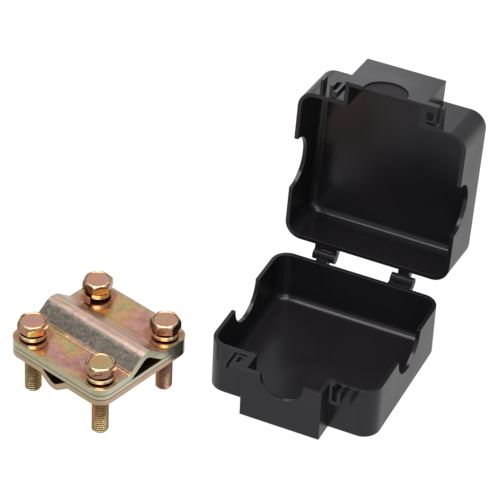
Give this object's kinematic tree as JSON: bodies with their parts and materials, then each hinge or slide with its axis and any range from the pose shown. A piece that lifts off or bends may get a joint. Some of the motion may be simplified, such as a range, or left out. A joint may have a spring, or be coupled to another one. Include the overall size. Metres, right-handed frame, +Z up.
{
  "type": "cable branch clamp",
  "caption": "Bolted steel plate clamp that joins a branch cable to a main cable, taken out of its hinged insulating casing, which lies open beside it.",
  "frame": {"origin": "centre of the underside of the casing's lower half, on the floor that everything stands on", "axes": "+Z up out of the open casing, -Y towards its branch spout, +X along its main cable way"},
  "size_m": [0.1676, 0.1831, 0.1247],
  "materials": {
    "casing_plastic": "glossy moulded black",
    "plate_zinc": "yellow zinc plated sheet",
    "bolt_zinc": "yellow zinc plated",
    "washer_zinc": "yellow zinc plated"
  },
  "bodies": {
    "base": {"casing_base": "casing_plastic", "bottom_plate": "plate_zinc"},
    "lid": {"casing_lid": "casing_plastic"},
    "top_jaw": {"top_plate": "plate_zinc", "spring_washer_front": "washer_zinc", "spring_washer_right": "washer_zinc", "spring_washer_back": "washer_zinc", "spring_washer_left": "washer_zinc"},
    "middle_jaw": {"middle_plate": "plate_zinc"},
    "front_bolt": {"bolt_front": "bolt_zinc"},
    "right_bolt": {"bolt_right": "bolt_zinc"},
    "back_bolt": {"bolt_back": "bolt_zinc"},
    "left_bolt": {"bolt_left": "bolt_zinc"}
  },
  "joints": [
    {"name": "lid_hinge", "type": "hinge", "parent": "base", "child": "lid", "pos_m": [0, 0.0457, 0.02805], "axis": [1, 0, 0], "range_deg": [0, 96]},
    {"name": "top_plate_lift", "type": "slide", "parent": "base", "child": "top_jaw", "axis": [0, 0, 1], "range_m": [0, 0.0125]},
    {"name": "middle_plate_lift", "type": "slide", "parent": "base", "child": "middle_jaw", "axis": [0, 0, 1], "range_m": [0, 0.00625]},
    {"name": "front_bolt_turn", "type": "hinge", "parent": "top_jaw", "child": "front_bolt", "pos_m": [-0.07369, -0.09029, 0], "axis": [0, 0, 1], "range_deg": [0, 3600]},
    {"name": "right_bolt_turn", "type": "hinge", "parent": "top_jaw", "child": "right_bolt", "pos_m": [-0.06131, -0.04849, 0], "axis": [0, 0, 1], "range_deg": [0, 3600]},
    {"name": "back_bolt_turn", "type": "hinge", "parent": "top_jaw", "child": "back_bolt", "pos_m": [-0.10311, -0.03611, 0], "axis": [0, 0, 1], "range_deg": [0, 3600]},
    {"name": "left_bolt_turn", "type": "hinge", "parent": "top_jaw", "child": "left_bolt", "pos_m": [-0.11549, -0.07791, 0], "axis": [0, 0, 1], "range_deg": [0, 3600]}
  ],
  "couplings": [
    {"joint": "middle_plate_lift", "follows": "top_plate_lift", "ratio": 0.5},
    {"joint": "front_bolt_turn", "follows": "top_plate_lift", "rad_per_m": 5026.5},
    {"joint": "right_bolt_turn", "follows": "top_plate_lift", "rad_per_m": 5026.5},
    {"joint": "back_bolt_turn", "follows": "top_plate_lift", "rad_per_m": 5026.5},
    {"joint": "left_bolt_turn", "follows": "top_plate_lift", "rad_per_m": 5026.5}
  ]
}
